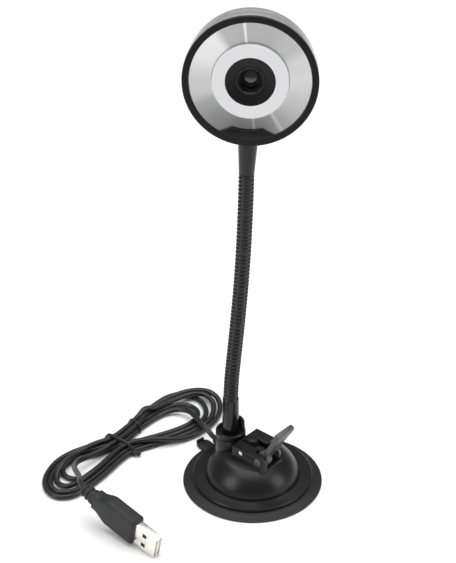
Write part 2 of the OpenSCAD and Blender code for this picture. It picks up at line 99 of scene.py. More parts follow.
area("softbox_left", (-0.80, -0.45, 0.50), (0, 0, 0.10), 0.40, 0.60, 3.6)
area("softbox_right", (0.85, -0.30, 0.45), (0, 0, 0.08), 0.35, 0.60, 2.8)
area("softbox_top", (0.0, 0.10, 1.30), (0, 0, 0.0), 1.7, 1.5, 24.0)

# ------------------------------------------------------------------ materials
def material(name, base, rough, metal=0.0, spec=0.5, mottling=0.06, rough_var=0.06, bump=0.12, grain=3500.0, coat=0.0, coat_rough=0.1,
             extra=None):
    """A procedural finish: colour mottling at a large scale, fine grain in the bump, uneven gloss."""
    m = bpy.data.materials.new(name)
    m.use_nodes = True
    nt = m.node_tree
    n, l = nt.nodes, nt.links
    b = n["Principled BSDF"]
    b.inputs["Metallic"].default_value = metal
    b.inputs["Specular IOR Level"].default_value = spec
    b.inputs["Coat Weight"].default_value = coat
    b.inputs["Coat Roughness"].default_value = coat_rough
    tc = n.new("ShaderNodeTexCoord")
    big = n.new("ShaderNodeTexNoise"); big.inputs["Scale"].default_value = 120; big.inputs["Detail"].default_value = 4
    fine = n.new("ShaderNodeTexNoise"); fine.inputs["Scale"].default_value = grain; fine.inputs["Detail"].default_value = 3
    l.new(tc.outputs["Object"], big.inputs["Vector"]); l.new(tc.outputs["Object"], fine.inputs["Vector"])
    ramp = n.new("ShaderNodeMix"); ramp.data_type = "RGBA"
    c0 = [max(0.0, c * (1 - mottling)) for c in base]; c1 = [min(1.0, c * (1 + mottling)) for c in base]
    ramp.inputs["A"].default_value = (*c0, 1); ramp.inputs["B"].default_value = (*c1, 1)
    l.new(big.outputs["Fac"], ramp.inputs["Factor"])
    l.new(ramp.outputs["Result"], b.inputs["Base Color"])
    mr = n.new("ShaderNodeMapRange")
    mr.inputs["To Min"].default_value = max(0.02, rough - rough_var); mr.inputs["To Max"].default_value = min(1.0, rough + rough_var)
    mix = n.new("ShaderNodeMath"); mix.operation = "ADD"
    half = n.new("ShaderNodeMath"); half.operation = "MULTIPLY"; half.inputs[1].default_value = 0.5
    l.new(big.outputs["Fac"], mix.inputs[0]); l.new(fine.outputs["Fac"], mix.inputs[1]); l.new(mix.outputs[0], half.inputs[0])
    l.new(half.outputs[0], mr.inputs["Value"]); l.new(mr.outputs["Result"], b.inputs["Roughness"])
    if bump > 0:
        bp = n.new("ShaderNodeBump"); bp.inputs["Strength"].default_value = bump; bp.inputs["Distance"].default_value = 0.00004
        l.new(fine.outputs["Fac"], bp.inputs["Height"]); l.new(bp.outputs["Normal"], b.inputs["Normal"])
    if extra:
        extra(m, nt, b, tc)
    return m


def brushed_with_painted_reflection(m, nt, b, tc):
    """Circular brushing round the piece's own axis, with painted reflection: brighter and darker sectors round the
    face, set in the base colour by angle.
    """
    n, l = nt.nodes, nt.links
    b.inputs["Anisotropic"].default_value = 0.82
    t = n.new("ShaderNodeTangent"); t.direction_type = "RADIAL"; t.axis = "Z"
    l.new(t.outputs["Tangent"], b.inputs["Tangent"])
    # painted reflection: broad brighter and darker sectors round the face, with a few narrow bright radial streaks as
    # painted highlights, set in the base colour by angle
    sep = n.new("ShaderNodeSeparateXYZ"); l.new(tc.outputs["Object"], sep.inputs[0])
    ang = n.new("ShaderNodeMath"); ang.operation = "ARCTAN2"
    l.new(sep.outputs["Y"], ang.inputs[0]); l.new(sep.outputs["X"], ang.inputs[1])
    deg = n.new("ShaderNodeMapRange"); deg.inputs["From Min"].default_value = -math.pi; deg.inputs["From Max"].default_value = math.pi
    l.new(ang.outputs[0], deg.inputs["Value"])
    ramp = n.new("ShaderNodeValToRGB"); ramp.color_ramp.interpolation = "EASE"
    # grey levels of the painted reflection sectors and painted highlight streaks, by share of the angle round the face
    painted_reflection_stops = [(0.000, 0.78), (0.045, 0.82), (0.085, 0.60), (0.150, 0.48), (0.215, 0.42), (0.262, 0.48), (0.268, 0.88), (0.274, 0.48), (0.330, 0.54), (0.345, 0.95), (0.352, 0.70),
             (0.400, 0.80), (0.500, 0.86), (0.560, 0.74), (0.620, 0.50), (0.700, 0.40), (0.766, 0.40), (0.772, 0.82), (0.778, 0.40), (0.830, 0.44), (0.868, 0.82), (0.930, 0.88), (1.000, 0.78)]
    cr = ramp.color_ramp
    while len(cr.elements) < len(painted_reflection_stops):
        cr.elements.new(0.5)
    for e, (pos, val) in zip(cr.elements, painted_reflection_stops):
        e.position = pos; e.color = (val, val, val * 1.01, 1)
    l.new(deg.outputs["Result"], ramp.inputs["Fac"])
    # the painted reflection ramp drives the base colour
    l.new(ramp.outputs["Color"], b.inputs["Base Color"])
    # fine rings from the turning tool
    hyp = n.new("ShaderNodeVectorMath"); hyp.operation = "LENGTH"
    comb = n.new("ShaderNodeCombineXYZ"); l.new(sep.outputs["X"], comb.inputs["X"]); l.new(sep.outputs["Y"], comb.inputs["Y"])
    l.new(comb.outputs[0], hyp.inputs[0])
    ring = n.new("ShaderNodeCombineXYZ"); l.new(hyp.outputs["Value"], ring.inputs["X"])
    nz = n.new("ShaderNodeTexNoise"); nz.inputs["Scale"].default_value = 9000; nz.inputs["Detail"].default_value = 3
    l.new(ring.outputs[0], nz.inputs["Vector"])
    bp = n.new("ShaderNodeBump"); bp.inputs["Strength"].default_value = 0.10; bp.inputs["Distance"].default_value = 0.00002
    l.new(nz.outputs["Fac"], bp.inputs["Height"]); l.new(bp.outputs["Normal"], b.inputs["Normal"])


def jacket(m, nt, b, tc):
    b.inputs["Sheen Weight"].default_value = 0.04
    b.inputs["Sheen Roughness"].default_value = 0.5


def clear_glass(m, nt, b, tc):
    b.inputs["Transmission Weight"].default_value = 0.35
    b.inputs["IOR"].default_value = 1.52


MAT = {
    "black_plastic": material("black_plastic", (0.006, 0.006, 0.0065), 0.40, spec=0.22, bump=0.25),
    "gloss_black": material("gloss_black", (0.006, 0.006, 0.0065), 0.20, spec=0.30, bump=0.05, coat=0.15),
    "base_plastic": material("base_plastic", (0.007, 0.007, 0.0075), 0.33, spec=0.34, bump=0.18),
    "silver_paint": material("silver_paint", (0.62, 0.62, 0.625), 0.28, metal=0.70, mottling=0.03, bump=0.10, grain=6000, coat=0.25),
    "face_chrome": material("face_chrome", (0.74, 0.74, 0.755), 0.24, metal=1.0, mottling=0.015, rough_var=0.03, bump=0, extra=brushed_with_painted_reflection),
    "satin_white": material("satin_white", (0.70, 0.70, 0.71), 0.38, spec=0.5, mottling=0.012, bump=0.08, coat=0.2, coat_rough=0.25),
    "neck_black": material("neck_black", (0.006, 0.0055, 0.006), 0.33, spec=0.42, bump=0.25),
    "rubber": material("rubber", (0.012, 0.0122, 0.013), 0.48, spec=0.30, bump=0.35, grain=2500),
    "cord": material("cord", (0.010, 0.010, 0.011), 0.36, spec=0.42, bump=0.30, grain=2800, extra=jacket),
    "grip": material("grip", (0.018, 0.0184, 0.0184), 0.50, spec=0.30, bump=0.40, grain=2600),
    "steel": material("steel", (0.66, 0.66, 0.67), 0.26, metal=1.0, mottling=0.04, bump=0.10),
    "bright_steel": material("bright_steel", (0.88, 0.88, 0.88), 0.30, metal=0.6, mottling=0.03, bump=0.08),
    "shell_metal": material("shell_metal", (0.80, 0.77, 0.73), 0.24, metal=1.0, mottling=0.05, rough_var=0.08, bump=0.12, grain=1800),
    "gold": material("gold", (0.85, 0.66, 0.30), 0.24, metal=1.0, bump=0.05),
    "white_plastic": material("white_plastic", (0.80, 0.79, 0.74), 0.42, bump=0.12),
    "board_green": material("board_green", (0.02, 0.16, 0.07), 0.30, bump=0.15, grain=1500),
    "chip_black": material("chip_black", (0.02, 0.02, 0.022), 0.45, bump=0.3),
    "lens_glass": material("lens_glass", (0.03, 0.033, 0.04), 0.06, spec=0.6, mottling=0.02, rough_var=0.015, bump=0, coat=0.6, coat_rough=0.03, extra=clear_glass),
    "filter_glass": material("filter_glass", (0.35, 0.12, 0.16), 0.08, mottling=0.02, rough_var=0.02, bump=0, extra=clear_glass),
    "lever_plastic": material("lever_plastic", (0.050, 0.050, 0.052), 0.36, spec=0.6, bump=0.2, coat=0.3, coat_rough=0.3),
}

# every CAD node gets the finish of its slot
SLOT = {s["node"]: s["material_slot"] for s in frame["record"]["subparts"]}
NODE_FINISH = {"guide_pin": "bright_steel", "plug_overmold": "grip", "plug_strain_relief": "grip", "base_cover": "base_plastic",
               "tower_collar": "base_plastic", "cup_stem": "base_plastic", "lever_pivot_pin": "lever_plastic"}
for node, o in frame["nodes"].items():
    m = MAT[NODE_FINISH.get(node, SLOT[node])]
    o.data.materials.clear()
    o.data.materials.append(m)

# ------------------------------------------------------------------ frames
def rot(axis, deg):
    return Matrix.Rotation(RAD(deg), 4, axis)


LINK = 8.2
LEAN = [3, 4.5, 5, 5, 5, 4.5, 4.5, 4, 3.5, 3, 2.5, 2, 2, 1.5, 1.5]


def link_dir(i):
    return (rot("Y", LEAN[i - 1]) @ rot("X", -0.35 * i)) @ Vector((0, 0, 1))


PIV = [Vector((-11, 8.5, 47.1))]
for i in range(1, 16):
    PIV.append(PIV[-1] + LINK * link_dir(i))
H3 = rot("Z", -2.5) @ rot("X", 83.7) @ rot("Z", -1.8)
HC = PIV[15] + H3 @ Vector((0, 46.9, 0)) + H3 @ Vector((0, 0, 6))
HEAD = Matrix.Translation(HC * MM) @ H3
LEVER = rot("Z", -41)
PLUG = Matrix.Translation(Vector((-56, -52, 8.8)) * MM) @ rot("Z", -41) @ rot("Y", 12)
TOWER = Matrix.Translation(Vector((-11, 8.5, 0)) * MM)
HANK_AZ = RAD(46)


def head_pt(x, y, z):
    return HC + H3 @ Vector((x, y, z))


# ------------------------------------------------------------------ mesh tools
def make(name, verts, faces, mat, body=None, M=None, sharp=32, replaces=(), merge=True, bake=False, face_mats=None, extra_mats=(), smooth=True):
    """A mesh from points in millimetres, in the frame M."""
    me = bpy.data.meshes.new(name)
    me.from_pydata([tuple(c * MM for c in v) for v in verts], [], [tuple(f) for f in faces])
    for m in [mat, *extra_mats]:
        me.materials.append(MAT[m])
    if face_mats:
        me.polygons.foreach_set("material_index", face_mats)
    bm = bmesh.new(); bm.from_mesh(me)
    if merge:
        bmesh.ops.remove_doubles(bm, verts=bm.verts, dist=1e-6)
    bmesh.ops.dissolve_degenerate(bm, edges=bm.edges, dist=1e-7)
    bmesh.ops.recalc_face_normals(bm, faces=bm.faces)
    bm.to_mesh(me); bm.free()
    me.polygons.foreach_set("use_smooth", [smooth] * len(me.polygons))
    me.set_sharp_from_angle(angle=RAD(sharp))
    o = bpy.data.objects.new(name, me)
    scene.collection.objects.link(o)
    if M is not None:
        if bake:
            me.transform(M)
        else:
            o.matrix_world = M
    if body:
        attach(o, body)
    if replaces:
        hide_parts(*replaces)
    return o


def fillet(poly, radius=0.2, special=None, seg=4):
    """Rounds the corners of a closed polygon of (r, z) points."""
    out, n = [], len(poly)
    for i, p in enumerate(poly):
        r = (special or {}).get(i, radius)
        a, b, c = Vector(poly[i - 1]), Vector(p), Vector(poly[(i + 1) % n])
        u, v = (a - b), (c - b)
        lu, lv = u.length, v.length
        if r <= 0 or lu < 1e-6 or lv < 1e-6:
            out.append(tuple(b)); continue
        u, v = u / lu, v / lv
        ang = math.acos(max(-1, min(1, u.dot(v))))
        if ang > RAD(172) or p[0] < 1e-6:
            out.append(tuple(b)); continue
        d = min(r / math.tan(ang / 2), 0.45 * lu, 0.45 * lv)
        p0, p1 = b + u * d, b + v * d
        for k in range(seg + 1):
            t = k / seg
            q = p0 * (1 - t) ** 2 + b * 2 * t * (1 - t) + p1 * t * t
            out.append(tuple(q))
    return out


def lathe(profile, n=128, a0=0.0, a1=360.0):
    """Revolves a closed (r, z) profile."""
    full = abs(a1 - a0 - 360) < 1e-6
    verts, faces = [], []
    m = len(profile)
    steps = n if full else n + 1
    for k in range(steps):
        a = RAD(a0 + (a1 - a0) * k / n)
        for r, z in profile:
            verts.append((r * math.cos(a), r * math.sin(a), z))
    for k in range(n):
        k2 = (k + 1) % steps if full else k + 1
        for j in range(m):
            j2 = (j + 1) % m
            f = [k * m + j, k2 * m + j, k2 * m + j2, k * m + j2]
            if profile[j][0] < 1e-6 and profile[j2][0] < 1e-6:
                continue
            faces.append(f)
    if not full:
        faces.append([j for j in range(m)][::-1]); faces.append([n * m + j for j in range(m)])
    return verts, faces


def skin(node, width=0.2, seg=2, angle=40, name=None, mat=None, extra=None):
    """A finer copy of a CAD node: clean faces and rounded edges. It stands for the node."""
    src = frame["nodes"][node]
    body = src["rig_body"]
    me = src.data.copy()
    name = name or node + "_shell"
    me.name = name
    bm = bmesh.new(); bm.from_mesh(me)
    bmesh.ops.remove_doubles(bm, verts=bm.verts, dist=2e-6)
    bmesh.ops.dissolve_degenerate(bm, edges=bm.edges, dist=1e-6)
    bmesh.ops.dissolve_limit(bm, angle_limit=RAD(0.6), verts=bm.verts, edges=bm.edges, use_dissolve_boundaries=False)
    bmesh.ops.recalc_face_normals(bm, faces=bm.faces)
    bm.to_mesh(me); bm.free()
    if me.has_custom_normals:
        bpy.context.view_layer.update()
    o = bpy.data.objects.new(name, me)
    scene.collection.objects.link(o)
    me.materials.clear()
    me.materials.append(MAT[mat or NODE_FINISH.get(node, SLOT[node])])
    for p in me.polygons:
        p.use_smooth = True
    mod = o.modifiers.new("bevel", "BEVEL")
    mod.width = width * MM; mod.segments = seg; mod.limit_method = "ANGLE"; mod.angle_limit = RAD(angle)
    mod.use_clamp_overlap = True; mod.harden_normals = False
    apply_mods(o)
    if extra:
        extra(o)
    o.data.set_sharp_from_angle(angle=RAD(50))
    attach(o, body)
    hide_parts(node)
    return o


def apply_mods(o):
    bpy.context.view_layer.update()
    dg = bpy.context.evaluated_depsgraph_get()
    me = bpy.data.meshes.new_from_object(o.evaluated_get(dg))
    old = o.data
    o.modifiers.clear()
    o.data = me
    me.name = o.name


def smooth_line(p, per=8):
    """Points on a smooth curve through p."""
    out = []
    for i in range(len(p) - 1):
        a, b, c, d = p[max(i - 1, 0)], p[i], p[i + 1], p[min(i + 2, len(p) - 1)]
        for k in range(per):
            u = k / per
            out.append(0.5 * ((2 * b) + (c - a) * u + (2 * a - 5 * b + 4 * c - d) * u * u + (3 * b - a - 3 * c + d) * u ** 3))
    out.append(p[-1].copy())
    return out


def sweep(line, section, closed=False, cap=True):
    """Sweeps a section, a function of (index, share of the length) giving (x, y) points, along a line."""
    n = len(line)
    tang = []
    for i in range(n):
        a = line[(i - 1) % n] if closed else line[max(i - 1, 0)]
        b = line[(i + 1) % n] if closed else line[min(i + 1, n - 1)]
        tang.append((b - a).normalized())
    ref = Vector((0, 0, 1)) if abs(tang[0].z) < 0.9 else Vector((1, 0, 0))
    side = tang[0].cross(ref).normalized()
    verts, faces, m = [], [], None
    for i in range(n):
        side = (side - tang[i] * side.dot(tang[i])).normalized()
        up = tang[i].cross(side)
        sec = section(i, i / max(1, n - 1))
        m = len(sec)
        for x, y in sec:
            verts.append(line[i] + side * x + up * y)
    for i in range(n if closed else n - 1):
        j = (i + 1) % n
        for k in range(m):
            k2 = (k + 1) % m
            faces.append([i * m + k, i * m + k2, j * m + k2, j * m + k])
    if cap and not closed:
        faces.append([k for k in range(m)][::-1]); faces.append([(n - 1) * m + k for k in range(m)])
    return verts, faces


def circle_pts(r, n=16, ry=None):
    return [(r * math.cos(2 * math.pi * k / n), (ry or r) * math.sin(2 * math.pi * k / n)) for k in range(n)]


# ------------------------------------------------------------------ the cable
CORD_D = 2.8
ROUTE = [
    (-16.50, 14.40, 13.00), (-19.97, 19.43, 12.47), (-21.62, 25.14, 10.71), (-23.03, 30.83, 8.64), (-24.77, 36.44, 6.62), (-26.94, 42.05, 5.07),
    (-29.52, 47.66, 4.43), (-32.95, 52.79, 4.02), (-38.20, 55.80, 3.03), (-44.20, 55.24, 2.03), (-49.31, 51.80, 1.54), (-53.61, 47.32, 1.42),
    (-57.57, 42.55, 1.42), (-60.94, 37.32, 1.42), (-64.34, 32.12, 1.42), (-68.16, 27.23, 1.42), (-72.97, 23.31, 1.42), (-78.32, 20.15, 1.42),
    (-84.00, 17.63, 1.42), (-89.52, 14.80, 1.42), (-94.26, 10.82, 1.42), (-96.20, 5.11, 1.42), (-93.47, -0.28, 1.42), (-87.61, -1.84, 1.42),
    (-82.44, 1.30, 1.42), (-78.87, 6.38, 1.42), (-75.70, 11.73, 1.42), (-72.53, 17.08, 1.42), (-68.92, 22.13, 1.42), (-64.46, 26.44, 1.42),
    (-59.28, 29.87, 1.42), (-53.78, 32.76, 1.42), (-48.12, 35.33, 1.42), (-42.61, 38.20, 1.42), (-37.32, 41.46, 1.42), (-32.49, 45.36, 1.42),
    (-29.03, 50.47, 1.42), (-28.71, 56.55, 1.42), (-32.54, 61.25, 1.42), (-38.56, 62.19, 1.42), (-44.37, 60.08, 1.42), (-49.33, 56.36, 1.42),
    (-53.40, 51.67, 1.42), (-57.71, 47.20, 1.42), (-61.26, 42.11, 1.42), (-64.77, 36.98, 1.42), (-68.44, 31.96, 1.42), (-73.00, 27.78, 1.42),
    (-78.41, 24.72, 1.42), (-84.01, 22.02, 1.42), (-89.43, 19.00, 1.42), (-94.19, 15.01, 1.42), (-98.00, 10.14, 1.42), (-100.40, 4.41, 1.42),
    (-101.76, -1.63, 1.42), (-101.11, -7.77, 1.42), (-96.91, -12.08, 1.42), (-90.90, -12.09, 1.42), (-86.19, -8.09, 1.42), (-82.36, -3.20, 1.42),
    (-78.60, 1.75, 1.42), (-75.18, 6.94, 1.42), (-71.96, 12.26, 1.42), (-68.53, 17.44, 1.42), (-64.57, 22.22, 1.42), (-59.64, 25.98, 1.42),
    (-54.23, 29.03, 1.42), (-48.61, 31.70, 1.42), (-43.06, 34.49, 1.42), (-37.72, 37.66, 1.42), (-32.60, 41.19, 1.42), (-28.04, 45.39, 1.42),
    (-24.80, 50.66, 1.42), (-23.97, 56.77, 1.42), (-25.42, 62.78, 1.42), (-28.68, 68.04, 1.42), (-33.76, 71.51, 1.42), (-39.87, 71.80, 1.42),
    (-45.31, 68.91, 1.42), (-49.61, 64.43, 1.42), (-53.44, 59.54, 1.42), (-56.99, 54.44, 1.42), (-60.31, 49.19, 1.42), (-63.75, 44.01, 1.42),
    (-67.28, 38.89, 1.42), (-71.02, 33.93, 1.42), (-75.74, 29.93, 1.42), (-81.27, 27.10, 1.42), (-86.73, 24.14, 1.42), (-91.97, 20.79, 1.42),
    (-96.59, 16.66, 1.42), (-100.37, 11.74, 1.42), (-102.86, 6.05, 1.42), (-104.45, 0.06, 1.42), (-104.42, -6.14, 1.42), (-102.29, -11.93, 1.42),
    (-97.71, -15.98, 1.42), (-91.66, -15.86, 1.42), (-86.50, -12.46, 1.42), (-82.30, -7.88, 1.42), (-78.47, -2.99, 1.42), (-74.89, 2.09, 1.42),
    (-71.59, 7.36, 1.42), (-68.32, 12.64, 1.42), (-64.75, 17.73, 1.42), (-60.29, 22.03, 1.42), (-54.88, 25.08, 1.42), (-49.31, 27.83, 1.42),
    (-43.77, 30.66, 1.42), (-38.27, 33.55, 1.42), (-33.03, 36.88, 1.42), (-28.28, 40.88, 1.42), (-24.19, 45.55, 1.42), (-21.21, 50.98, 1.44),
    (-20.04, 57.04, 1.89), (-20.58, 63.13, 2.84), (-24.15, 67.90, 3.90), (-30.16, 68.64, 4.21), (-36.01, 66.59, 3.95), (-41.33, 63.39, 3.93),
    (-46.18, 59.52, 4.21), (-50.78, 55.40, 4.63), (-56.08, 52.58, 5.93), (-59.67, 48.03, 4.11), (-62.75, 42.66, 3.81), (-66.29, 37.55, 3.79),
    (-70.03, 32.60, 3.75), (-74.68, 28.49, 3.75), (-79.93, 25.18, 3.99), (-84.79, 21.31, 4.16), (-89.35, 17.12, 3.81), (-93.07, 12.19, 4.21),
    (-96.15, 6.80, 4.17), (-98.55, 1.41, 2.45), (-98.09, -4.52, 1.44), (-93.34, -8.14, 1.92), (-87.73, -6.61, 3.25), (-83.53, -2.06, 3.78),
    (-79.62, 2.76, 3.90), (-76.18, 7.94, 3.83), (-73.03, 13.29, 3.78), (-69.63, 18.50, 3.76), (-65.68, 23.28, 3.81), (-60.29, 26.24, 4.19),
    (-54.26, 27.74, 4.04), (-48.10, 28.49, 4.15), (-42.02, 29.24, 3.35), (-36.36, 31.47, 2.14), (-31.12, 34.72, 1.46), (-26.42, 38.78, 1.42),
    (-22.25, 43.38, 1.42), (-19.01, 48.68, 1.42), (-16.99, 54.53, 1.50), (-16.53, 60.69, 2.04), (-18.03, 66.61, 2.95), (-22.31, 70.81, 3.97),
    (-28.39, 71.66, 4.43), (-34.44, 70.32, 4.45), (-40.03, 67.63, 4.22), (-45.24, 64.27, 3.89), (-49.87, 60.14, 3.61), (-53.76, 55.34, 3.08),
    (-55.94, 49.65, 4.04), (-58.54, 44.02, 3.92), (-61.75, 38.71, 3.86), (-65.22, 33.54, 3.80), (-68.88, 28.53, 3.83), (-72.69, 23.63, 4.17),
    (-77.00, 19.15, 4.05), (-81.57, 14.96, 4.40), (-85.96, 10.61, 4.99), (-88.97, 5.42, 6.42), (-89.67, -0.37, 8.47), (-88.67, -6.12, 10.58),
    (-87.05, -11.78, 12.58), (-85.74, -17.54, 14.52), (-84.93, -23.40, 16.41), (-82.58, -28.90, 16.28),
]
route = [Vector(p) for p in ROUTE]
route_line = smooth_line(route, 6)

cd = bpy.data.curves.new("usb_cord", "CURVE")
cd.dimensions = "3D"
sp = cd.splines.new("BEZIER")
sp.bezier_points.add(len(route) - 1)
for i, p in enumerate(route):
    bp = sp.bezier_points[i]
    a, b = route[max(i - 1, 0)], route[min(i + 1, len(route) - 1)]
    t = (b - a) / 6 if 0 < i < len(route) - 1 else (b - a) / 3
    bp.co = p * MM
    bp.handle_left_type = bp.handle_right_type = "FREE"
    bp.handle_left = (p - t) * MM
    bp.handle_right = (p + t) * MM
sp.resolution_u = 5
cd.bevel_depth = CORD_D / 2 * MM
cd.bevel_resolution = 5
cd.use_fill_caps = True
cord = bpy.data.objects.new("usb_cord", cd)
scene.collection.objects.link(cord)
cd.materials.append(MAT["cord"])
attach(cord, "root")
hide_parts("cord_lead", "cord_hank", "cord_tail")


def hank_local(p):
    return p.x * math.cos(HANK_AZ) + p.y * math.sin(HANK_AZ), -p.x * math.sin(HANK_AZ) + p.y * math.cos(HANK_AZ), p.z


def hank_world(a, q, z):
    return Vector((a * math.cos(HANK_AZ) - q * math.sin(HANK_AZ), a * math.sin(HANK_AZ) + q * math.cos(HANK_AZ), z))


def crossings(a):
    """Where the cable crosses the plane at a, as (q, z)."""
    out = []
    loc = [hank_local(p) for p in route_line]
    for u, v in zip(loc, loc[1:]):
        if (u[0] - a) * (v[0] - a) <= 0 and abs(u[0] - v[0]) > 1e-9 and 45 < u[1] < 90:
            t = (a - u[0]) / (v[0] - u[0])
            out.append((u[1] + t * (v[1] - u[1]), u[2] + t * (v[2] - u[2])))
    return out


def hull2(pts):
    pts = sorted(set(pts))
    def half(ps):
        h = []
        for p in ps:
            while len(h) > 1 and (h[-1][0] - h[-2][0]) * (p[1] - h[-2][1]) - (h[-1][1] - h[-2][1]) * (p[0] - h[-2][0]) <= 0:
                h.pop()
            h.append(p)
        return h
    lo, hi = half(pts), half(pts[::-1])
    return lo[:-1] + hi[:-1]


def band_loop(a0, slant, off, q_min=0):
    """A closed loop round the bundle at a0, leaning by slant along the hank per millimetre across it."""
    pts = []
    for q, z in crossings(a0):
        if q < q_min:
            continue
        for k in range(24):
            t = 2 * math.pi * k / 24
            pts.append((round(q + (CORD_D / 2 + off) * math.cos(t), 4), round(max(z + (CORD_D / 2 + off) * math.sin(t), off * 0.9 + 0.02), 4)))
    h = hull2(pts)
    # even spacing round the loop
    loop = [Vector((p[0], p[1], 0)) for p in h]
    segs = [(loop[(i + 1) % len(loop)] - loop[i]).length for i in range(len(loop))]
    total = sum(segs); n = 72; out = []; acc = 0; i = 0
    for k in range(n):
        s = total * k / n
        while acc + segs[i] < s:
            acc += segs[i]; i += 1
        f = (s - acc) / segs[i] if segs[i] > 0 else 0
        p = loop[i].lerp(loop[(i + 1) % len(loop)], f)
        out.append(p)
    for _ in range(2):
        out = [(out[k - 1] + 2 * out[k] + out[(k + 1) % n]) / 4 for k in range(n)]
    qm = sum(p.x for p in out) / n
    return [hank_world(a0 + slant * (p.x - qm), p.x, p.y) for p in out], qm


tie_line, tie_q = band_loop(-28.8, -0.12, 0.42)
v, f = sweep(tie_line, lambda i, t: circle_pts(0.42, 12, 1.15), closed=True)
tie_verts, tie_faces = list(v), list(f)
# the twisted ends, tucked under the near side
q_lo = min(hank_local(p)[1] for p in tie_line)
twist0 = hank_world(-28.2, q_lo + 0.2, 2.0)
for side in (0, 1):
    pts = []
    for k in range(40):
        t = k / 39
        ang = 2 * math.pi * 2.6 * t + math.pi * side
        c = twist0 + hank_world(1.6 * t, -2.6 * t, 0) - hank_world(0, 0, 0) + Vector((0, 0, -0.55 * t + 0.35 * math.sin(math.pi * t)))
        pts.append(c + Vector((0.62 * math.cos(ang) * 0.7, 0.62 * math.cos(ang) * 0.7, 0.62 * math.sin(ang))))
    v, f = sweep(pts, lambda i, t: circle_pts(0.72, 10))
    k0 = len(tie_verts)
    tie_verts += v; tie_faces += [[i + k0 for i in q] for q in f]
tie = make("wire_tie", tie_verts, tie_faces, "cord", "root", sharp=60, replaces=["twist_tie"], merge=False)
band_line, _ = band_loop(-12.3, 0.05, 0.35, q_min=64)
v, f = sweep(band_line, lambda i, t: circle_pts(0.32, 10, 0.62), closed=True)
band = make("second_tie", v, f, "cord", "root", sharp=60, replaces=["cord_band"], merge=False)

# ------------------------------------------------------------------ the plug
relief_prof = [(0, -37), (1.75, -37), (2.35, -36.9), (2.6, -36.2), (2.6, -35.9), (3.35, -35.7), (3.4, -34.5), (2.75, -34.2), (2.75, -33.0), (3.55, -32.75),
               (3.6, -31.7), (2.95, -31.35), (2.95, -30.2), (3.85, -29.95), (3.9, -28.7), (3.9, -27.6), (0, -27.6)]
v, f = lathe(fillet(relief_prof, 0.22, seg=3), 64)
relief = make("plug_relief", v, f, "grip", "root", M=PLUG @ rot("Y", 90), replaces=["plug_strain_relief"])


def rounded_rect(hx, hy, r, n=6):
    pts = []
    r = min(r, hx * 0.98, hy * 0.98)
    for cx, cy, a in ((hx - r, hy - r, 0), (-hx + r, hy - r, 90), (-hx + r, -hy + r, 180), (hx - r, -hy + r, 270)):
        for k in range(n + 1):
            t = RAD(a + 90 * k / n)
            pts.append((cx + r * math.cos(t), cy + r * math.sin(t)))
    return pts


def ease(t):
    t = max(0.0, min(1.0, t))
    return t * t * (3 - 2 * t)


def grip_half(x):
    # half height along the grip, from its waist to its full width
    return 4.75 + (7.75 - 4.75) * ease((x + 25.6) / 8.6)


rings = []
xs = [-28, -27.9, -27.6, -27.2] + [-26.8 + k * 0.55 for k in range(19)] + [-16 + 1.6 * k for k in range(10)] + [-1.1, -0.7, -0.35, -0.1, 0]
for x in xs:
    inset = 0.0
    if x < -27.2:
        d = (x + 28) / 0.8; inset = 0.7 * (1 - math.sqrt(max(0, 1 - (1 - d) ** 2)))
    if x > -1.2:
        d = -x / 1.2; inset = 0.9 * (1 - math.sqrt(max(0, 1 - (1 - d) ** 2)))
    hz, hy = grip_half(x) - inset, 4.0 - inset - 0.35 * (1 - ease((x + 28) / 10))
    rings.append((x, hz, hy))
gv, gf = [], []
for x, hz, hy in rings:
    ring = rounded_rect(hz, hy, 1.9, 7)
    gv += [(x, b, a) for a, b in ring]
m = len(rounded_rect(5, 4, 1.9, 7))
for i in range(len(rings) - 1):
    for k in range(m):
        k2 = (k + 1) % m
        gf.append([i * m + k, i * m + k2, (i + 1) * m + k2, (i + 1) * m + k])
gf.append([k for k in range(m)][::-1]); gf.append([(len(rings) - 1) * m + k for k in range(m)])
grip = make("plug_grip", gv, gf, "grip", "root", M=PLUG, replaces=["plug_overmold"], sharp=40)
shell = skin("plug_shell", 0.22, 3, 40, name="usb_shell")
tongue = skin("plug_tongue", 0.12, 2, 40, name="usb_tongue")

# ------------------------------------------------------------------ the head
v, f = lathe(fillet([(28.07, -0.3), (28.07, 0.95), (28.5, 1.2), (30.8, 1.2), (31.48, 0.6), (30.4, -1.45), (29.6, -1.45), (29.6, -2.05), (28.9, -2.05), (28.9, -0.3)],
                    0.12, {1: 0.3, 2: 0.5, 3: 0.6, 4: 0.5, 5: 0.2}, 5), 192)
nv = len(v)
# chin tab, in the same moulding: rounded on its upper edge
tab = [(23.6, t) for t in [-17 + 2 * k for k in range(18)]] + [(24.6, 19.2), (26.2, 23.0), (28.5, 27.4)] + [(28.6, t) for t in [25 - 5 * k for k in range(11)]] + [(28.5, -27.4), (26.2, -23.0), (24.6, -19.2)]
tv, tf = [], []
tc = [Vector((r * math.cos(RAD(a - 91.2)), r * math.sin(RAD(a - 91.2)))) for r, a in tab]
cen = Vector((26.4 * math.cos(RAD(-91.2)), 26.4 * math.sin(RAD(-91.2))))
levels = [(0.0, 0.10), (0.0, 0.95), (0.06, 1.10), (0.16, 1.20), (0.32, 1.25)]
nt_ = len(tc)
for ins, z in levels:
    for i, p in enumerate(tc):
        a, b = tc[i - 1], tc[(i + 1) % nt_]
        t = (b - a).normalized(); nrm = Vector((-t.y, t.x))
        if nrm.dot(cen - p) < 0:
            nrm = -nrm
        q = p + nrm * ins
        tv.append((q.x, q.y, z))
for i in range(len(levels) - 1):
    for k in range(nt_):
        k2 = (k + 1) % nt_
        tf.append([i * nt_ + k, i * nt_ + k2, (i + 1) * nt_ + k2, (i + 1) * nt_ + k])
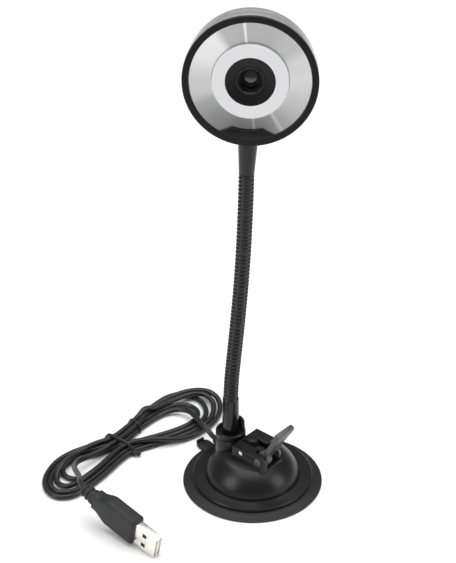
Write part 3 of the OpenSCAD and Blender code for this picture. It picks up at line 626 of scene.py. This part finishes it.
tf.append([k for k in range(nt_)][::-1]); tf.append([(len(levels) - 1) * nt_ + k for k in range(nt_)])
v += tv; f += [[i + nv for i in q] for q in tf]
bezel = make("bezel_ring", v, f, "black_plastic", "head", M=HEAD, replaces=["front_bezel"], sharp=40, merge=True)

dish = [(17.9, -1.8), (17.9, -0.85)] + [(17.9 + 10.1 * k / 16, -0.85 + 0.95 * (k / 16) ** 1.15) for k in range(1, 17)] + [(28.02, -0.35), (28.8, -0.35), (28.8, -1.4)]
v, f = lathe(dish, 192)
reflector = make("face_dish", v, f, "face_chrome", "head", M=HEAD, replaces=["face_reflector"], sharp=30)

v, f = lathe(fillet([(11.6, -3.2), (11.6, 1.3), (17.4, 1.3), (17.7, 1.0), (17.7, -2.2), (18.8, -2.2), (18.8, -3.2)], 0.1, {1: 0.18, 2: 0.3, 3: 0.3}, 5), 192)
ring = make("white_ring", v, f, "satin_white", "focus", M=HEAD, replaces=["focus_ring"], sharp=30)

cone = [(6.95, -2.4), (6.95, -0.35)]
for k in range(9):
    r = 7.2 + 4.0 * k / 8
    z = -0.3 + 1.4 * (k / 8)
    cone += [(r - 0.16, z - 0.02), (r, z + 0.01)]
cone += [(11.6, 1.1), (11.6, -2.4)]
v, f = lathe(cone, 160)
lens_cone = make("ring_cone", v, f, "black_plastic", "focus", M=HEAD, replaces=["lens_cone"], sharp=40)

barrel = [(3.6, -9), (3.6, -5.4), (4.6, -5.4), (4.6, -3.6), (4.75, -3.2), (5.0, -2.7), (4.95, -2.45), (5.2, -1.95), (5.15, -1.7), (5.4, -1.15), (5.35, -0.9), (5.6, -0.4), (5.9, 0),
          (6.6, 0), (6.8, -0.2), (6.8, -2.2), (5.95, -2.2), (5.95, -9)]
v, f = lathe(fillet(barrel, 0.08, {12: 0.2, 13: 0.2, 14: 0.2}, 3), 128)
lens_barrel = make("barrel", v, f, "gloss_black", "focus", M=HEAD, replaces=["lens_barrel"], sharp=40)
arc = [(4.58 * (1 - k / 12), -12.1 + math.sqrt(8.6 ** 2 - (4.58 * (1 - k / 12)) ** 2)) for k in range(13)]
v, f = lathe([(0, -5.4), (4.58, -5.4)] + arc, 96)
front_lens = make("front_element", v, f, "lens_glass", "focus", M=HEAD, replaces=["front_lens"], sharp=40)

band_piece = skin("housing_band", 0.3, 3, 38, name="head_band")
rear = skin("rear_cover", 0.25, 3, 38, name="rear_shell")

# tapered piece under the head
v, f = lathe(fillet([(0, -1.0), (3.45, -1.0), (3.75, -0.7), (3.75, 0), (4.55, 12.6), (4.55, 15), (4.2, 15.5), (3.2, 15.5), (3.2, 20.6), (0, 20.6)],
                    0.15, {1: 0.2, 2: 0.3, 3: 3, 4: 3, 5: 0.4, 6: 0.3}, 5), 96)
upper = make("upper_taper", v, f, "gloss_black", "head", M=HEAD @ Matrix.Translation(Vector((0, -46.9, -6)) * MM) @ rot("X", -90), replaces=["upper_ferrule"], sharp=35)
lf = [(0, 16.5), (4, 16.5), (4, 19.4), (5.2, 19.4), (5.2, 21), (4.3, 21), (4.3, 25.5), (4.05, 44.55), (3.75, 45), (0, 45)]
v, f = lathe(fillet(lf, 0.12, {7: 0.3, 8: 0.3}, 4), 96)
lower = make("lower_taper", v, f, "gloss_black", "neck_base", M=TOWER, replaces=["lower_ferrule"], sharp=35)

# ------------------------------------------------------------------ the gooseneck
end = head_pt(0, -47.9, -6)
ctrl = [Vector((-11, 8.5, 40)), Vector((-11, 8.5, 45))] + [p.copy() for p in PIV[1:15]] + [end, head_pt(0, -43.5, -6)]
fine = smooth_line(ctrl, 40)
i0 = 40
i1 = 40 * (len(ctrl) - 2)
fine = fine[i0:i1 + 1]
cum = [0.0]
for a, b in zip(fine, fine[1:]):
    cum.append(cum[-1] + (b - a).length)
S_END = cum[-1]


def at(s):
    s = max(0.0, min(S_END, s))
    lo, hi = 0, len(cum) - 1
    while hi - lo > 1:
        mid = (lo + hi) // 2
        if cum[mid] <= s:
            lo = mid
        else:
            hi = mid
    t = (s - cum[lo]) / max(1e-9, cum[hi] - cum[lo])
    return fine[lo].lerp(fine[hi], t)


def s_of(p):
    best = min(range(len(fine)), key=lambda i: (fine[i] - p).length_squared)
    return cum[best]


PITCH = 2.05
FLEX = [2, 5, 7, 10, 12, 15]
GROUPS = [[1], [2, 3, 4], [5, 6], [7, 8, 9], [10, 11], [12, 13, 14], [15]]
s_piv = [s_of(PIV[k - 1]) for k in FLEX]
bound = [0.0] + [(a + b) / 2 for a, b in zip(s_piv, s_piv[1:])] + [S_END]
SEG = 40


def rib(u):
    g = 0.5 + 0.5 * math.cos(2 * math.pi * u)
    return 3.22 + 0.53 * (1 - (1 - g) ** 3.2)


def frame_at(s):
    t = (at(s + 0.4) - at(s - 0.4)).normalized()
    side = Vector((1, 0, 0))
    side = (side - t * side.dot(t)).normalized()
    return at(s), side, t.cross(side)


for j in range(6):
    s0, s1 = bound[j], bound[j + 1]
    n = max(8, int(round((s1 - s0) / (PITCH / 9))))
    ss = [s0 + (s1 - s0) * k / n for k in range(n + 1)]
    verts, faces, fm = [], [], []
    for s in ss:
        c, x, y = frame_at(s)
        for k in range(SEG):
            a = 2 * math.pi * k / SEG
            r = rib(s / PITCH - k / SEG)
            if s < 0.9: r = r + (3.70 - r) * (1 - s / 0.9)
            if s > S_END - 0.9: r = r + (3.70 - r) * (1 - (S_END - s) / 0.9)
            verts.append(c + x * (r * math.cos(a)) + y * (r * math.sin(a)))
    for i in range(n):
        for k in range(SEG):
            k2 = (k + 1) % SEG
            faces.append([i * SEG + k, i * SEG + k2, (i + 1) * SEG + k2, (i + 1) * SEG + k]); fm.append(0)
    # inner wall
    inner0 = len(verts)
    ri = 2.1
    coarse = [s0 + (s1 - s0) * k / max(4, n // 8) for k in range(max(4, n // 8) + 1)]
    for s in coarse:
        c, x, y = frame_at(s)
        for k in range(SEG):
            a = 2 * math.pi * k / SEG
            verts.append(c + x * (ri * math.cos(a)) + y * (ri * math.sin(a)))
    m = len(coarse)
    for i in range(m - 1):
        for k in range(SEG):
            k2 = (k + 1) % SEG
            faces.append([inner0 + i * SEG + k2, inner0 + i * SEG + k, inner0 + (i + 1) * SEG + k, inner0 + (i + 1) * SEG + k2]); fm.append(0)
    for k in range(SEG):
        k2 = (k + 1) % SEG
        faces.append([k2, k, inner0 + k, inner0 + k2]); fm.append(0)
        faces.append([n * SEG + k, n * SEG + k2, inner0 + (m - 1) * SEG + k2, inner0 + (m - 1) * SEG + k]); fm.append(0)
    # the wires inside
    w0 = len(verts)
    for s in coarse:
        c, x, y = frame_at(s)
        for k in range(12):
            a = 2 * math.pi * k / 12
            verts.append(c + x * (0.8 * math.cos(a)) + y * (0.8 * math.sin(a)))
    for i in range(m - 1):
        for k in range(12):
            k2 = (k + 1) % 12
            faces.append([w0 + i * 12 + k, w0 + i * 12 + k2, w0 + (i + 1) * 12 + k2, w0 + (i + 1) * 12 + k]); fm.append(1)
    faces.append([w0 + k for k in range(12)][::-1]); fm.append(1)
    faces.append([w0 + (m - 1) * 12 + k for k in range(12)]); fm.append(1)
    name = "gooseneck_%d" % (j + 1)
    o = make(name, verts, faces, "neck_black", None, sharp=70, merge=False, face_mats=fm, extra_mats=["cord"])
    nodes = ["neck_link_%02d" % i for i in GROUPS[j + 1]]
    if j == 0:
        nodes += ["neck_link_01", "neck_cable"]
    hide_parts(*nodes)
    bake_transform(o)

# wires in the tower and in the head
exit_dir = Vector((math.cos(RAD(133)), math.sin(RAD(133)), 0))
tw = [Vector((-11, 8.5, 13)) + exit_dir * 4.4, Vector((-11, 8.5, 13.4)) + exit_dir * 2.2, Vector((-11.3, 8.8, 14.6)), Vector((-11, 8.5, 17)), Vector((-11, 8.5, 30)), Vector((-11, 8.5, 45.2))]
v, f = sweep(smooth_line(tw, 6), lambda i, t: circle_pts(0.8, 12))
make("tower_wires", v, f, "cord", "neck_base", merge=False)
hw = [head_pt(0, -48.1, -6), head_pt(0, -40, -6), head_pt(0, -30, -6), head_pt(0, -25.5, -6), head_pt(0, -23, -7.2), head_pt(0, -21.8, -9)]
v, f = sweep(smooth_line(hw, 6), lambda i, t: circle_pts(0.8, 12))
make("head_wires", v, f, "cord", "head", merge=False)

# ------------------------------------------------------------------ the base
base = skin("base_cover", 0.35, 3, 38, name="base_shell")
collar = skin("tower_collar", 0.2, 3, 38, name="collar")
stem = skin("cup_stem", 0.2, 2, 38, name="stem_tongue")
lever = skin("lever", 0.28, 3, 38, name="lock_lever")
pin = skin("lever_pivot_pin", 0.3, 3, 38, name="pivot_boss")
gp = skin("guide_pin", 0.2, 2, 38, name="guide_rod")
gr = skin("cable_grommet", 0.2, 2, 38, name="cable_sleeve")

cup = [(23.8, 1.2), (26.5, 0.7), (29, 0.05), (31, 0.0), (34.6, 0.0), (35.0, 0.3), (35.0, 0.72), (34.4, 0.95), (33, 1.2), (31.3, 1.7), (30.2, 2.15), (29.6, 2.5), (29.2, 2.9), (23.8, 2.9)]
v, f = lathe(fillet(cup, 0.15, {4: 0.3, 5: 0.3, 6: 0.4, 7: 2, 8: 2, 9: 2, 10: 2}, 4), 192)
k0 = len(v)
# pull tab: a rounded tongue with a raised lip
tabv, tabf = [], []
outline = [(31.5, -3.8), (33.5, -3.8), (36.2, -3.8)] + [(37.6 + 3.8 * math.sin(RAD(t)), -3.8 * math.cos(RAD(t))) for t in range(0, 181, 12)] + [(36.2, 3.8), (33.5, 3.8), (31.5, 3.8)]
lev = [(0.25, 0.3), (0.0, 0.45), (0.0, 1.05), (0.1, 1.2), (0.3, 1.3)]
cx, cy = 36.0, 0.0
for ins, z in lev:
    for x, y in outline:
        d = Vector((cx - x, cy - y)); d = d.normalized() * ins if d.length > 0 else d
        tabv.append((x + d.x, y + d.y, z))
mo = len(outline)
for i in range(len(lev) - 1):
    for k in range(mo):
        k2 = (k + 1) % mo
        tabf.append([i * mo + k, i * mo + k2, (i + 1) * mo + k2, (i + 1) * mo + k])
tabf.append([k for k in range(mo)][::-1]); tabf.append([(len(lev) - 1) * mo + k for k in range(mo)])
n0 = len(tabv)
for (x0, x1, z0, z1, yy) in ((40.2, 41.3, 1.0, 2.6, 2.4),):
    rr = rounded_rect((x1 - x0) / 2, yy, 0.5, 4)
    for ins, z in ((0, z0), (0, z1 - 0.35), (0.12, z1 - 0.1), (0.35, z1)):
        for a, b in rr:
            s = 1 - ins / 1.2
            tabv.append(((x0 + x1) / 2 + a * s, b * (1 - ins / 4), z))
    mr_ = len(rr)
    for i in range(3):
        for k in range(mr_):
            k2 = (k + 1) % mr_
            tabf.append([n0 + i * mr_ + k, n0 + i * mr_ + k2, n0 + (i + 1) * mr_ + k2, n0 + (i + 1) * mr_ + k])
    tabf.append([n0 + k for k in range(mr_)][::-1]); tabf.append([n0 + 3 * mr_ + k for k in range(mr_)])
ca, sa = math.cos(RAD(131)), math.sin(RAD(131))
v += [(x * ca - y * sa, x * sa + y * ca, z) for x, y, z in tabv]
f += [[i + k0 for i in q] for q in tabf]
cup_o = make("cup_rim", v, f, "rubber", "root", replaces=["suction_cup"], sharp=38)

mem = [(0, 1), (20, 1), (23.5, 1.3), (23.5, 2.2), (20, 2.1), (11, 3), (0, 3)]
prof = fillet(mem, 0.3, {1: 2, 3: 0.3, 4: 3, 5: 3}, 4)
dense = []
for a, b in zip(prof, prof[1:] + prof[:1]):
    steps = max(1, int(math.hypot(b[0] - a[0], b[1] - a[1]) / 1.2))
    for k in range(steps):
        dense.append((a[0] + (b[0] - a[0]) * k / steps, a[1] + (b[1] - a[1]) * k / steps))
v, f = lathe(dense, 96)
membrane = make("cup_skin", v, f, "rubber", "stem", replaces=["cup_membrane"], sharp=40)

# ------------------------------------------------------------------ floor
fme = bpy.data.meshes.new("floor")
fme.from_pydata([(-6, -6, 0), (6, -6, 0), (6, 6, 0), (-6, 6, 0)], [], [(0, 1, 2, 3)])
floor = bpy.data.objects.new("floor", fme)
scene.collection.objects.link(floor)
fm_ = bpy.data.materials.new("floor_white")
fm_.use_nodes = True
fb = fm_.node_tree.nodes["Principled BSDF"]
fb.inputs["Base Color"].default_value = (0.93, 0.93, 0.93, 1)
fb.inputs["Roughness"].default_value = 0.7
fb.inputs["Specular IOR Level"].default_value = 0.2
fme.materials.append(fm_)
floor.location = (0, 0, -0.0002)
